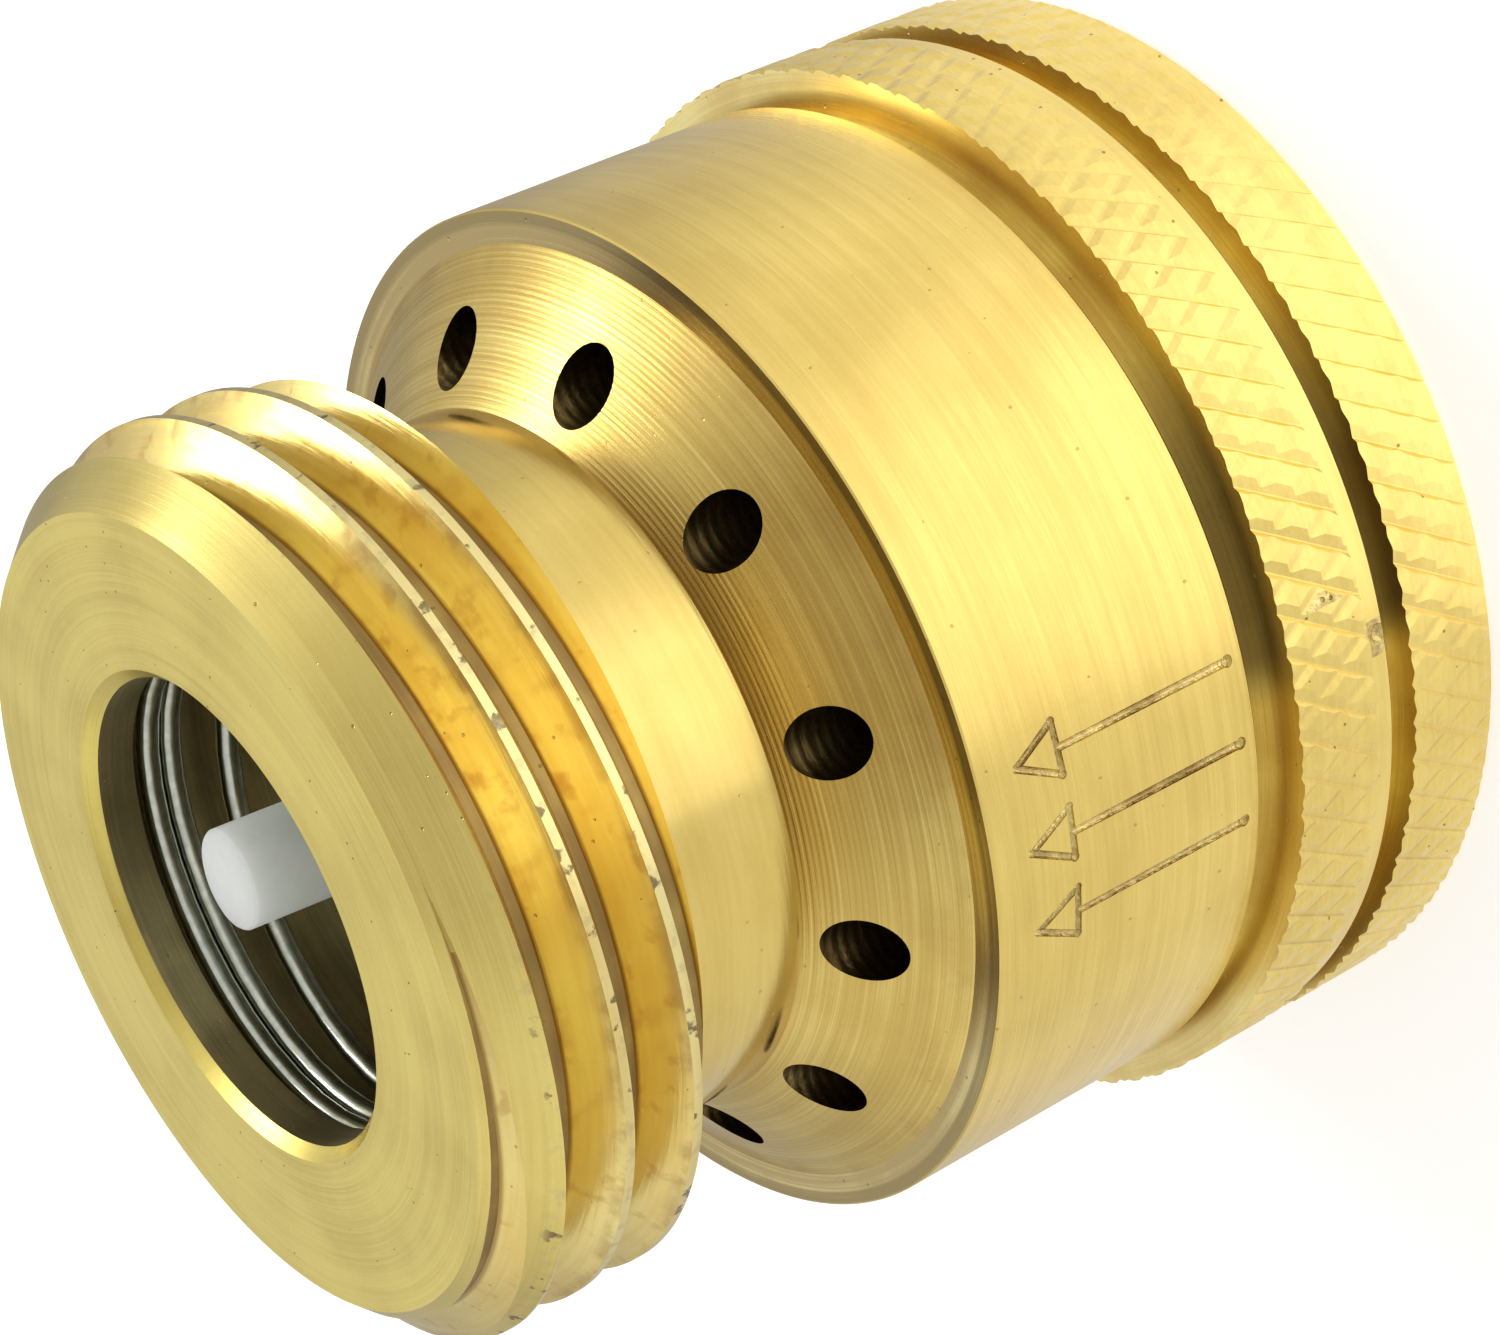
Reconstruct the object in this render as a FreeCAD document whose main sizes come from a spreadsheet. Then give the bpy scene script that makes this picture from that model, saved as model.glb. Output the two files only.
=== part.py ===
import FreeCAD, Part
import math
import os
import Sketcher

# Hose bib vacuum breaker, in millimetres. It stands on its inlet end, with +Z along the flow
# towards the outlet. The origin is the centre of the inlet face, and one vent hole lies over +X.

SIZES = {
    # hose thread at the outlet, 11.5 turns to the inch
    "thread_pitch": 2.2087,
    "thread_crest_radius": 13.45,
    "thread_crest_flat": 0.33,
    "thread_root_flat": 0.262,
    "thread_runout": 0.32,
    "thread_cut_over": 0.1,
    "thread_lead": 1.65,
    # outside of the body, from the inlet end up
    "band_two_length": 3.25,
    "groove_width": 0.75,
    "band_one_length": 3.7,
    "relief_width": 0.7,
    "barrel_length": 9.75,
    "cone_length": 2.85,
    "neck_length": 4.5,
    "outlet_thread_length": 7.1,
    "collar_wall": 4.05,
    "groove_depth": 1.0,
    "relief_depth": 1.4,
    "barrel_wall": 1.9,
    "shoulder_width": 1.0,
    "neck_wall": 2.0,
    "band_bevel": 0.4,
    # inside of the body
    "socket_radius": 12.35,
    "socket_depth": 9.7,
    "socket_mouth_bevel": 0.9,
    "washer_relief_depth": 1.2,
    "washer_room": 0.3,
    "seat_step": 0.15,
    "ledge_width": 1.0,
    "ledge_thickness": 1.1,
    "sleeve_gap": 0.8,
    "sleeve_wall": 0.9,
    "passage_inset": 3.6,
    "lip_width": 1.65,
    "lip_thickness": 1.5,
    "lip_bevel": 0.35,
    # vent holes through the cone, into a ring-shaped chamber round the sleeve
    "vent_count": 12,
    "vent_radius": 1.05,
    "vent_inset": 1.5,
    "vent_wall": 1.3,
    "chamber_room": 0.5,
    # hose washer
    "washer_width": 4.95,
    "washer_thickness": 2.5,
    "washer_grip": 0.6,
    # seat ring
    "seat_clearance": 0.04,
    "seat_thickness": 2.1,
    "seat_rim_width": 1.95,
    "seat_web": 1.2,
    "nozzle_radius": 4.4,
    "nozzle_wall": 0.9,
    "nozzle_rise": 0.1,
    "nozzle_bevel": 0.25,
    "feed_count": 6,
    "feed_radius": 0.6,
    # diaphragm
    "diaphragm_thickness": 1.4,
    "diaphragm_clearance": 0.2,
    "flex_groove_depth": 0.5,
    "flex_groove_width": 1.0,
    # check disc
    "disc_clearance": 1.4,
    "disc_thickness": 1.6,
    "disc_hole_radius": 1.6,
    "disc_gap": 0.03,
    # plunger
    "pin_radius": 1.1,
    "barb_step": 0.8,
    "barb_bevel": 1.0,
    "barb_length": 1.2,
    "barb_room": 0.15,
    "foot_rise": 1.4,
    "foot_radius": 5.0,
    "flange_clearance": 0.75,
    "flange_rise": 0.4,
    "flange_thickness": 1.0,
    "boss_clearance": 0.4,
    "boss_height": 0.8,
    "boss_taper_length": 1.8,
    "stem_radius": 1.48,
    "stem_recess": 0.6,
    "stem_bevel": 0.1,
    "notch_count": 6,
    "notch_radius": 1.1,
    "notch_inset": 0.27,
    "plunger_lean": 3.0,
    "plunger_lean_way": 12.3,
    # spring, whose wire has many flat sides and short straight runs
    "wire_radius": 0.35,
    "spring_room": 0.85,
    "closed_pitch": 0.73,
    "bottom_turns": 1,
    "active_turns": 3,
    "top_turns": 2,
    "spring_turn": -134,
    "spring_gap": 0.03,
    "wire_sides": 8,
    "runs_per_turn": 24,
    # set screw in the knurled collar
    "screw_radius": 2.0,
    "screw_length": 2.5,
    "screw_clearance": 0.03,
    "screw_recess": 0.1,
    "screw_point_length": 0.5,
    "screw_socket_radius": 1.15,
    "screw_socket_depth": 1.3,
}

doc = FreeCAD.newDocument("vacuum_breaker")
sheet = doc.addObject("Spreadsheet::Sheet", "sizes")
for row, (alias, value) in enumerate(SIZES.items(), start=1):
    sheet.set(f"A{row}", alias)
    sheet.set(f"B{row}", str(value))
    sheet.setAlias(f"B{row}", alias)
doc.recompute()


def total(*names):
    """An expression for the sum of sheet values, where a leading minus takes one off."""
    terms = []
    for name in names:
        sign = " - " if name.startswith("-") else " + "
        terms.append(sign + "sizes." + name.lstrip("-"))
    return "(0" + "".join(terms) + ")"


def number(expression):
    """What an expression comes to now, as a plain number."""
    return float(sheet.evalExpression(expression))


# radii and slopes that several pieces share
KNURL_RADIUS = total("socket_radius", "collar_wall")
SEAT_BORE_RADIUS = total("socket_radius", "-seat_step")
SEAT_RADIUS = total("socket_radius", "-seat_step", "-seat_clearance")
LEDGE_RADIUS = total("socket_radius", "-seat_step", "-ledge_width")
PASSAGE_RADIUS = total("socket_radius", "-seat_step", "-passage_inset")
SLEEVE_RADIUS = f"({PASSAGE_RADIUS} + sizes.sleeve_wall)"
NECK_RADIUS = f"({PASSAGE_RADIUS} + sizes.neck_wall)"
LIP_RADIUS = f"({PASSAGE_RADIUS} - sizes.lip_width)"
VENT_CIRCLE_RADIUS = f"({SLEEVE_RADIUS} + sizes.vent_inset + sizes.vent_radius)"
CHAMBER_RADIUS = f"({VENT_CIRCLE_RADIUS} + sizes.vent_radius + sizes.chamber_room)"
BARREL_RADIUS = f"({CHAMBER_RADIUS} + sizes.barrel_wall)"
CONE_RADIUS = f"({BARREL_RADIUS} - sizes.shoulder_width)"
OUTLET_FACE_RADIUS = total("thread_crest_radius", "-thread_lead")
NOZZLE_OUTER_RADIUS = total("nozzle_radius", "nozzle_wall")
COIL_RADIUS = f"({PASSAGE_RADIUS} - sizes.spring_room - sizes.wire_radius)"
CONE_SLOPE = f"(sizes.cone_length / ({CONE_RADIUS} - {NECK_RADIUS}))"
FLANK_SLOPE = "tan(30 deg)"
THREAD_DEPTH = ("((sizes.thread_pitch - sizes.thread_crest_flat - sizes.thread_root_flat)"
                f" / 2 / {FLANK_SLOPE})")

# heights, from the inlet face up
Z_BAND_TWO = total("band_two_length")
Z_GROOVE = total("band_two_length", "groove_width")
Z_BAND_ONE = total("band_two_length", "groove_width", "band_one_length")
Z_RELIEF = f"({Z_BAND_ONE} + sizes.relief_width)"
Z_SHOULDER = f"({Z_RELIEF} + sizes.barrel_length)"
Z_NECK = f"({Z_SHOULDER} + sizes.cone_length)"
Z_THREAD = f"({Z_NECK} + sizes.neck_length)"
Z_TOP = f"({Z_THREAD} + sizes.outlet_thread_length)"
Z_SEAT = "sizes.socket_depth"
Z_WASHER = total("socket_depth", "-washer_thickness")
Z_DIAPHRAGM = total("socket_depth", "seat_thickness")
Z_LEDGE = f"({Z_DIAPHRAGM} + sizes.diaphragm_thickness)"
Z_LEDGE_TOP = f"({Z_LEDGE} + sizes.ledge_thickness)"
Z_SLEEVE = f"({Z_LEDGE} + sizes.sleeve_gap)"
Z_ROOF = f"({Z_NECK} - ({CHAMBER_RADIUS} - {NECK_RADIUS}) * {CONE_SLOPE} - sizes.vent_wall)"
Z_LIP = f"({Z_TOP} - sizes.lip_thickness)"
Z_NOZZLE = f"({Z_LEDGE} + sizes.nozzle_rise)"
Z_DISC = f"({Z_NOZZLE} + sizes.disc_gap)"
Z_FOOT = f"({Z_DISC} + sizes.disc_thickness + sizes.disc_gap)"
SCREW_HEIGHT = f"(({Z_BAND_TWO} + {Z_GROOVE}) / 2)"

# heights in the plunger's own frame, which starts at the end of its barb
FOOT = "(sizes.barb_length + sizes.barb_room + sizes.disc_thickness + 2 * sizes.disc_gap)"
FOOT_EDGE = f"({FOOT} + sizes.foot_rise)"
FLANGE_BOTTOM = f"({FOOT_EDGE} + sizes.flange_rise)"
FLANGE_TOP = f"({FLANGE_BOTTOM} + sizes.flange_thickness)"


def new_body(name):
    body = doc.addObject("PartDesign::Body", name)
    body.Label = name
    return body


def sketch_on(body, name, role):
    """An empty sketch on one of the body's own origin planes."""
    plane = [item for item in body.Origin.OriginFeatures if item.Role == role][0]
    sketch = body.newObject("Sketcher::SketchObject", name)
    sketch.AttachmentSupport = [(plane, "")]
    sketch.MapMode = "FlatFace"
    return sketch


def pin_point(sketch, geometry, end, across, along):
    """Ties one end of a line or arc, or a circle's centre, to a place given as two expressions."""
    for kind, axis, expression in (("DistanceX", -2, across), ("DistanceY", -1, along)):
        if expression == "0":
            sketch.addConstraint(Sketcher.Constraint("PointOnObject", geometry, end, axis))
            continue
        value = number(expression)
        index = sketch.addConstraint(Sketcher.Constraint(kind, -1, 1, geometry, end, value))
        sketch.setExpression(f"Constraints[{index}]", expression)


def draw_outline(sketch, corners):
    """A closed outline of lines through corners, each an (across, along) pair of expressions."""
    places = [FreeCAD.Vector(number(x), number(y), 0) for x, y in corners]
    count = len(places)
    for i in range(count):
        sketch.addGeometry(Part.LineSegment(places[i], places[(i + 1) % count]), False)
    for i in range(count):
        sketch.addConstraint(Sketcher.Constraint("Coincident", i, 2, (i + 1) % count, 1))
    for i, (across, along) in enumerate(corners):
        pin_point(sketch, i, 1, across, along)


def draw_circle(sketch, across, along, radius):
    place = FreeCAD.Vector(number(across), number(along), 0)
    circle = Part.Circle(place, FreeCAD.Vector(0, 0, 1), number(radius))
    geometry = sketch.addGeometry(circle, False)
    pin_point(sketch, geometry, 3, across, along)
    index = sketch.addConstraint(Sketcher.Constraint("Radius", geometry, number(radius)))
    sketch.setExpression(f"Constraints[{index}]", radius)


def revolve(body, name, corners):
    """A turned solid about the body's upright axis, from one half section."""
    sketch = sketch_on(body, name + "_section", "XZ_Plane")
    draw_outline(sketch, corners)
    turned = body.newObject("PartDesign::Revolution", name)
    turned.Profile = sketch
    turned.ReferenceAxis = (sketch, ["V_Axis"])
    turned.Angle = 360
    doc.recompute()
    return turned


def ring_of_holes(body, name, across, radius, bottom, height, count):
    """Round holes parallel to the axis, the first over +X, repeated around the axis."""
    sketch = sketch_on(body, name + "_circle", "XY_Plane")
    sketch.setExpression(".AttachmentOffset.Base.z", bottom)
    draw_circle(sketch, across, "0", radius)
    hole = body.newObject("PartDesign::Pocket", name)
    hole.Profile = sketch
    hole.Reversed = True
    hole.setExpression("Length", height)
    doc.recompute()
    pattern = body.newObject("PartDesign::PolarPattern", name + "_ring")
    pattern.Originals = [hole]
    pattern.Axis = (sketch, ["N_Axis"])
    pattern.Angle = 360
    pattern.setExpression("Occurrences", count)
    body.Tip = pattern
    doc.recompute()
    return pattern


def make_shell():
    """The turned brass body: knurled collar, barrel, vented cone, neck and outlet thread."""
    body = new_body("body")
    groove_floor = f"({KNURL_RADIUS} - sizes.groove_depth)"
    relief_floor = f"({KNURL_RADIUS} - sizes.relief_depth)"
    washer_relief = total("socket_radius", "washer_relief_depth")
    thread_end = f"({Z_WASHER} - sizes.washer_room)"
    outside = [
        (total("socket_radius", "socket_mouth_bevel"), "0"),
        (KNURL_RADIUS, "0"),
        (KNURL_RADIUS, Z_BAND_TWO),
        (groove_floor, Z_BAND_TWO),
        (groove_floor, Z_GROOVE),
        (f"({KNURL_RADIUS} - sizes.band_bevel)", Z_GROOVE),
        (KNURL_RADIUS, f"({Z_GROOVE} + sizes.band_bevel)"),
        (KNURL_RADIUS, Z_BAND_ONE),
        (relief_floor, Z_BAND_ONE),
        (relief_floor, Z_RELIEF),
        (BARREL_RADIUS, Z_RELIEF),
        (BARREL_RADIUS, Z_SHOULDER),
        (CONE_RADIUS, Z_SHOULDER),
        (NECK_RADIUS, Z_NECK),
        (NECK_RADIUS, Z_THREAD),
        ("sizes.thread_crest_radius", Z_THREAD),
        ("sizes.thread_crest_radius", f"({Z_TOP} - sizes.thread_lead)"),
        (OUTLET_FACE_RADIUS, Z_TOP),
    ]
    inside = [
        (f"({LIP_RADIUS} + sizes.lip_bevel)", Z_TOP),
        (LIP_RADIUS, f"({Z_TOP} - sizes.lip_bevel)"),
        (LIP_RADIUS, Z_LIP),
        (PASSAGE_RADIUS, Z_LIP),
        (PASSAGE_RADIUS, Z_SLEEVE),
        (SLEEVE_RADIUS, Z_SLEEVE),
        (SLEEVE_RADIUS, Z_ROOF),
        (CHAMBER_RADIUS, Z_ROOF),
        (CHAMBER_RADIUS, Z_LEDGE_TOP),
        (LEDGE_RADIUS, Z_LEDGE_TOP),
        (LEDGE_RADIUS, Z_LEDGE),
        (SEAT_BORE_RADIUS, Z_LEDGE),
        (SEAT_BORE_RADIUS, Z_SEAT),
        (washer_relief, Z_SEAT),
        (washer_relief, thread_end),
        ("sizes.socket_radius", thread_end),
        ("sizes.socket_radius", "sizes.socket_mouth_bevel"),
    ]
    revolve(body, "turned", outside + inside)
    cut_outlet_thread(body)
    ring_of_holes(body, "vent_holes", VENT_CIRCLE_RADIUS, "sizes.vent_radius", Z_LEDGE_TOP,
                  f"({Z_NECK} - {Z_LEDGE_TOP})", "sizes.vent_count")

    # the set screw's hole, through the collar on the side away from the flow arrows
    sketch = sketch_on(body, "screw_hole_circle", "XZ_Plane")
    draw_circle(sketch, "0", SCREW_HEIGHT, total("screw_radius", "screw_clearance"))
    hole = body.newObject("PartDesign::Pocket", "screw_hole")
    hole.Profile = sketch
    hole.setExpression("Length", f"{KNURL_RADIUS} + sizes.screw_length")
    doc.recompute()
    return body


def cut_outlet_thread(body):
    """One right-hand helical groove, cut from the neck out past the end face."""
    half_root = "(sizes.thread_root_flat / 2)"
    half_mouth = f"({half_root} + ({THREAD_DEPTH} + sizes.thread_cut_over) * {FLANK_SLOPE})"
    root = f"(sizes.thread_crest_radius - {THREAD_DEPTH})"
    mouth = total("thread_crest_radius", "thread_cut_over")
    start = f"({Z_THREAD} - {half_mouth} - sizes.thread_runout)"
    sketch = sketch_on(body, "thread_groove", "XZ_Plane")
    draw_outline(sketch, [
        (root, f"({start} - {half_root})"),
        (mouth, f"({start} - {half_mouth})"),
        (mouth, f"({start} + {half_mouth})"),
        (root, f"({start} + {half_root})"),
    ])
    groove = body.newObject("PartDesign::SubtractiveHelix", "outlet_thread")
    groove.Profile = sketch
    groove.ReferenceAxis = (sketch, ["V_Axis"])
    groove.Mode = "pitch-height-angle"
    groove.setExpression("Pitch", "sizes.thread_pitch")
    groove.setExpression("Height", f"({Z_TOP} - {start} + {half_mouth} + sizes.thread_runout)")
    doc.recompute()


def make_washer():
    """The hose washer at the bottom of the inlet socket, held in behind the thread."""
    body = new_body("hose_washer")
    outer = total("socket_radius", "washer_grip")
    hole = total("socket_radius", "washer_grip", "-washer_width")
    revolve(body, "washer_ring", [
        (hole, Z_WASHER),
        (outer, Z_WASHER),
        (outer, Z_SEAT),
        (hole, Z_SEAT),
    ])
    return body


def make_seat_ring():
    """The brass ring that clamps the diaphragm's rim and carries the check nozzle."""
    body = new_body("seat_ring")
    rim_inner = f"({SEAT_RADIUS} - sizes.seat_rim_width)"
    web_top = f"({Z_SEAT} + sizes.seat_web)"
    revolve(body, "seat_section", [
        ("sizes.nozzle_radius", Z_SEAT),
        (SEAT_RADIUS, Z_SEAT),
        (SEAT_RADIUS, Z_DIAPHRAGM),
        (rim_inner, Z_DIAPHRAGM),
        (rim_inner, web_top),
        (NOZZLE_OUTER_RADIUS, web_top),
        (NOZZLE_OUTER_RADIUS, f"({Z_NOZZLE} - sizes.nozzle_bevel)"),
        (f"({NOZZLE_OUTER_RADIUS} - sizes.nozzle_bevel)", Z_NOZZLE),
        ("sizes.nozzle_radius", Z_NOZZLE),
    ])
    ring_of_holes(body, "feed_holes", f"(({rim_inner} + {NOZZLE_OUTER_RADIUS}) / 2)",
                  "sizes.feed_radius", Z_SEAT, "sizes.seat_web", "sizes.feed_count")
    return body


def make_diaphragm():
    """The rubber diaphragm, clamped at its rim and thinned there so that it can flex."""
    body = new_body("diaphragm")
    outer = f"({SEAT_RADIUS} - sizes.seat_clearance)"
    inner = f"({NOZZLE_OUTER_RADIUS} + sizes.diaphragm_clearance)"
    groove_outer = f"({LEDGE_RADIUS} - sizes.diaphragm_clearance)"
    groove_inner = f"({groove_outer} - sizes.flex_groove_width)"
    revolve(body, "diaphragm_section", [
        (inner, Z_DIAPHRAGM),
        (outer, Z_DIAPHRAGM),
        (outer, Z_LEDGE),
        (groove_outer, Z_LEDGE),
        (f"(({groove_outer} + {groove_inner}) / 2)", f"({Z_LEDGE} - sizes.flex_groove_depth)"),
        (groove_inner, Z_LEDGE),
        (inner, Z_LEDGE),
    ])
    return body


def make_check_disc():
    """The rubber check disc that the plunger presses on the nozzle."""
    body = new_body("check_disc")
    top = f"({Z_DISC} + sizes.disc_thickness)"
    rim = f"({PASSAGE_RADIUS} - sizes.disc_clearance)"
    revolve(body, "disc_section", [
        ("sizes.disc_hole_radius", Z_DISC),
        (rim, Z_DISC),
        (rim, top),
        ("sizes.disc_hole_radius", top),
    ])
    return body


def make_plunger():
    """The white plastic plunger. It rocks on its raised foot and leans a little to one side."""
    body = new_body("plunger")
    flange_radius = f"({PASSAGE_RADIUS} - sizes.flange_clearance)"
    boss_radius = f"({COIL_RADIUS} - sizes.wire_radius - sizes.boss_clearance)"
    boss_top = f"({FLANGE_TOP} + sizes.boss_height)"
    taper_top = f"({boss_top} + sizes.boss_taper_length)"
    tip = f"({Z_TOP} - {Z_FOOT} + {FOOT} - sizes.stem_recess)"
    barb_radius = total("pin_radius", "barb_step")
    revolve(body, "plunger_section", [
        ("0", "0"),
        (f"({barb_radius} - sizes.barb_bevel)", "0"),
        (barb_radius, "sizes.barb_length"),
        ("sizes.pin_radius", "sizes.barb_length"),
        ("sizes.pin_radius", FOOT),
        ("sizes.foot_radius", FOOT_EDGE),
        (flange_radius, FLANGE_BOTTOM),
        (flange_radius, FLANGE_TOP),
        (boss_radius, FLANGE_TOP),
        (boss_radius, boss_top),
        ("sizes.stem_radius", taper_top),
        ("sizes.stem_radius", f"({tip} - sizes.stem_bevel)"),
        (total("stem_radius", "-stem_bevel"), tip),
        ("0", tip),
    ])
    ring_of_holes(body, "flow_notches", f"({flange_radius} + sizes.notch_inset)",
                  "sizes.notch_radius", FOOT, f"({FLANGE_TOP} - {FOOT})", "sizes.notch_count")

    # it turns about the middle of its foot, which stays over the nozzle's centre
    way = number("sizes.plunger_lean_way")
    lean = FreeCAD.Rotation(FreeCAD.Vector(0, 0, 1), way)
    lean = lean * FreeCAD.Rotation(FreeCAD.Vector(0, 1, 0), number("sizes.plunger_lean"))
    rest = FreeCAD.Vector(0, 0, number(Z_FOOT))
    foot = FreeCAD.Vector(0, 0, number(FOOT))
    body.Placement = FreeCAD.Placement(rest - lean.multVec(foot), lean)
    return body


def coil_points(start, runs, radius, steps):
    """Points up a right-hand coil, for runs given as (turns, pitch), steps points to a turn."""
    points = []
    angle = math.radians(number("sizes.spring_turn"))
    height = start
    for turns, pitch in runs:
        for _ in range(round(turns * steps)):
            points.append(FreeCAD.Vector(radius * math.cos(angle), radius * math.sin(angle), height))
            angle += 2 * math.pi / steps
            height += pitch / steps
    points.append(FreeCAD.Vector(radius * math.cos(angle), radius * math.sin(angle), height))
    return points


def make_spring():
    """The stainless spring between the plunger's flange and the outlet lip."""
    wire = number("sizes.wire_radius")
    radius = number(COIL_RADIUS)
    closed = number("sizes.closed_pitch")
    gap = wire + number("sizes.spring_gap")
    # the lean lifts one side of the flange
    lift = (radius + wire) * math.sin(math.radians(number("sizes.plunger_lean")))
    bottom = number(f"({Z_FOOT} + {FLANGE_TOP} - {FOOT})") + lift + gap
    top = number(Z_LIP) - gap
    bottom_turns = number("sizes.bottom_turns")
    active_turns = number("sizes.active_turns")
    top_turns = number("sizes.top_turns")
    active_height = top - bottom - (bottom_turns + top_turns) * closed
    runs = (
        (bottom_turns, closed),
        (active_turns, active_height / active_turns),
        (top_turns, closed),
    )
    points = coil_points(bottom, runs, radius, number("sizes.runs_per_turn"))
    along = (points[1] - points[0]).normalize()
    across = FreeCAD.Vector(points[0].x, points[0].y, 0).normalize()
    upward = along.cross(across)
    sides = int(number("sizes.wire_sides"))
    corners = []
    for i in range(sides + 1):
        turn = 2 * math.pi * (i + 0.5) / sides
        corners.append(points[0] + across * (wire * math.cos(turn)) + upward * (wire * math.sin(turn)))
    mitred = 1
    coil = Part.makePolygon(points).makePipeShell([Part.makePolygon(corners)], True, False, mitred)
    spring = doc.addObject("Part::Feature", "spring")
    spring.Label = "spring"
    spring.Shape = coil
    return spring


def make_set_screw():
    """The socket set screw that locks the collar on the tap, flush with the knurl."""
    body = new_body("set_screw")
    revolve(body, "screw_blank", [
        ("0", "0"),
        (total("screw_radius", "-screw_point_length"), "0"),
        ("sizes.screw_radius", "sizes.screw_point_length"),
        ("sizes.screw_radius", "sizes.screw_length"),
        ("0", "sizes.screw_length"),
    ])
    sketch = sketch_on(body, "hex_outline", "XY_Plane")
    sketch.setExpression(".AttachmentOffset.Base.z", "sizes.screw_length")
    corners = []
    for i in range(6):
        corners.append((f"(sizes.screw_socket_radius * cos({60 * i} deg))",
                        f"(sizes.screw_socket_radius * sin({60 * i} deg))"))
    draw_outline(sketch, corners)
    socket = body.newObject("PartDesign::Pocket", "hex_socket")
    socket.Profile = sketch
    socket.setExpression("Length", "sizes.screw_socket_depth")
    doc.recompute()
    out = number(f"({KNURL_RADIUS} - sizes.screw_recess - sizes.screw_length)")
    outwards = FreeCAD.Rotation(FreeCAD.Vector(0, 0, 1), FreeCAD.Vector(0, 1, 0))
    body.Placement = FreeCAD.Placement(FreeCAD.Vector(0, out, number(SCREW_HEIGHT)), outwards)
    return body


pieces = [
    make_shell(),
    make_washer(),
    make_seat_ring(),
    make_diaphragm(),
    make_check_disc(),
    make_plunger(),
    make_spring(),
    make_set_screw(),
]
doc.recompute()

for item in doc.Objects:
    for state in ("Invalid", "Error"):
        if state in item.State:
            raise RuntimeError(f"{item.Label} is {state}")
os.makedirs("parts", exist_ok=True)
for piece in pieces:
    if piece.Shape.isNull() or not piece.Shape.isValid():
        raise RuntimeError(f"{piece.Label} has no valid shape")
    piece.Shape.exportStep(f"parts/{piece.Label}.step")
    print(piece.Label, len(piece.Shape.Solids), round(piece.Shape.Volume, 2), len(piece.Shape.Faces))
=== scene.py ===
import math
import bpy
from mathutils import Matrix, Vector


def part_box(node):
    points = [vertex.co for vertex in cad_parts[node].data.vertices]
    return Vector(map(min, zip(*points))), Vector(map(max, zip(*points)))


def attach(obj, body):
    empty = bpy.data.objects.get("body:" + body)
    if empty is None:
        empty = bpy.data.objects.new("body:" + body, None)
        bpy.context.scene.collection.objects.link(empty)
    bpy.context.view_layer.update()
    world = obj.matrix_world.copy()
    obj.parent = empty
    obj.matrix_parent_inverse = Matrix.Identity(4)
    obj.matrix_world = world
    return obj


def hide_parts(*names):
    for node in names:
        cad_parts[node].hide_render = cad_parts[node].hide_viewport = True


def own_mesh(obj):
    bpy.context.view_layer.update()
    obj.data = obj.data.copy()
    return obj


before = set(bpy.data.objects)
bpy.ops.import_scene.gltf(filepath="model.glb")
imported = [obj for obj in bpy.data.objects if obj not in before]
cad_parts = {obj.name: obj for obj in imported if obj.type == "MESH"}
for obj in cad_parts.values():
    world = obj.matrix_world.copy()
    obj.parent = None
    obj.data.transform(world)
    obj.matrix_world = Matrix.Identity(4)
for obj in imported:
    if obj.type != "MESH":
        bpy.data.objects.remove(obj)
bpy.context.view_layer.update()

# Modelled in millimetres and shrunk to metres as each piece is finished.
MM = 0.001
ROUND = 192
THREAD_STEPS = 144
HOLE_SIDES = 48

# outside of the body, heights from the inlet face
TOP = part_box("body")[1].z / MM
KNURL_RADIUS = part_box("body")[1].x / MM
BAND_TWO_TOP = 3.25
GROOVE_TOP = 4.0
BAND_ONE_TOP = 7.7
RELIEF_TOP = 8.4
SHOULDER = 18.15
NECK = 21.0
THREAD_START = 25.5
GROOVE_FLOOR = KNURL_RADIUS - 1.0
RELIEF_FLOOR = KNURL_RADIUS - 1.4
BAND_BEVEL = 0.25
BAND_BEVEL_RISE = 0.1
PLAIN_STRIP = 0.14
PLAIN_STRIP_TOP = 4.72
PLAIN_STRIP_DRAFT = 0.02
PLAIN_STRIP_STEP = 0.05
BARREL_RADIUS = 15.5
CONE_RADIUS = 14.5
NECK_RADIUS = 10.6
CREST_RADIUS = 13.45
FACE_RADIUS = 11.8
SMALL_BEVEL = 0.2
KNURL_SKIN = 0.45
BARREL_SKIN = 0.35
EDGE_BREAK = 0.05
THREAD_END_BEVEL = 0.5

# inside of the body
SOCKET_RADIUS = 12.35
SOCKET_MOUTH = 0.9
WASHER_RELIEF_RADIUS = 13.55
WASHER_RELIEF = 6.9
SEAT_HEIGHT = 9.7
SEAT_BORE = 12.2
LEDGE_RADIUS = 11.2
LEDGE = 13.2
LEDGE_TOP = 14.3
CHAMBER_RADIUS = 13.6
ROOF = 17.5
SLEEVE_RADIUS = 9.5
SLEEVE_END = 14.0
PASSAGE_RADIUS = 8.6
LIP_RADIUS = 6.95
LIP_UNDERSIDE = 31.1
LIP_BEVEL = 0.35

# thread, a groove between narrow crests
PITCH = 25.4 / 11.5
CREST_FLAT = 0.28
FLANK_SLOPE = math.tan(math.radians(30))
OUTLET_DEPTH = 1.4
OUTLET_GROOVE_START = 24.183
INLET_DEPTH = 1.1
INLET_GROOVE_START = -1.23
THREAD_OVER = 0.1
OUTLET_TURNS = 5
INLET_TURNS = 4

# vent holes
VENTS = 12
VENT_RADIUS = 1.02
VENT_CIRCLE = 12.05
VENT_OVER = 0.5

# set screw's hole, with the length and the middle of its cutter
SCREW_HOLE_RADIUS = 2.03
SCREW_CUTTER = 6
SCREW_CUTTER_PLACE = KNURL_RADIUS - 1

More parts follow.
